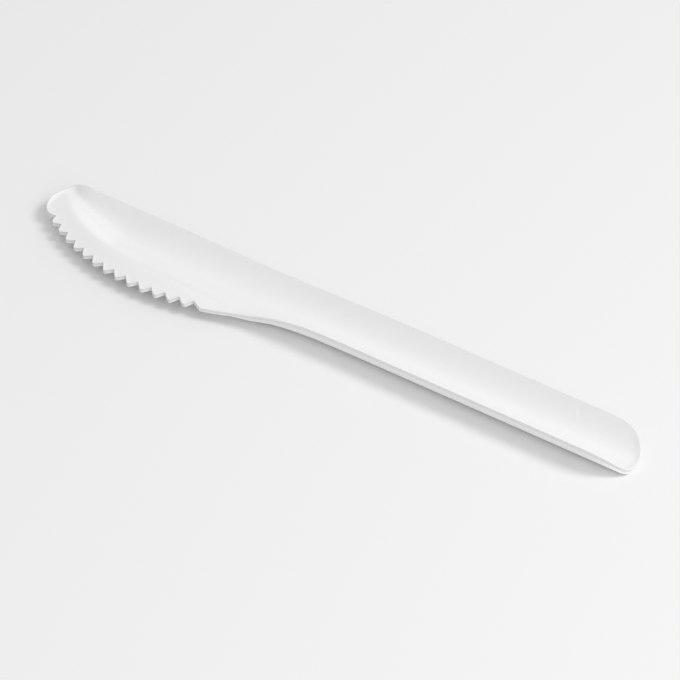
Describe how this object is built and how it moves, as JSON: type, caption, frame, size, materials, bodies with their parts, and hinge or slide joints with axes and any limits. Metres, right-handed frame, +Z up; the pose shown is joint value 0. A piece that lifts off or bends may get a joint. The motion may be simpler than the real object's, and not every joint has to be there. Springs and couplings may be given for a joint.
{
  "type": "pressed paper knife",
  "caption": "Disposable table knife pressed from one sheet of white paperboard, with a troughed handle, a blunt round tip and a curved serrated edge.",
  "frame": {"origin": "on the surface that the knife lies on, below the middle of its bounding box", "axes": "+X from the blade's tip to the handle's end, +Y from the cutting edge to the spine, +Z up out of the open trough"},
  "size_m": [0.16, 0.021, 0.0063],
  "materials": {
    "white_paper": "matt uncoated white paperboard, pressed, with a faint fibre grain"
  },
  "bodies": {
    "root": {"knife": "white_paper"}
  },
  "joints": []
}
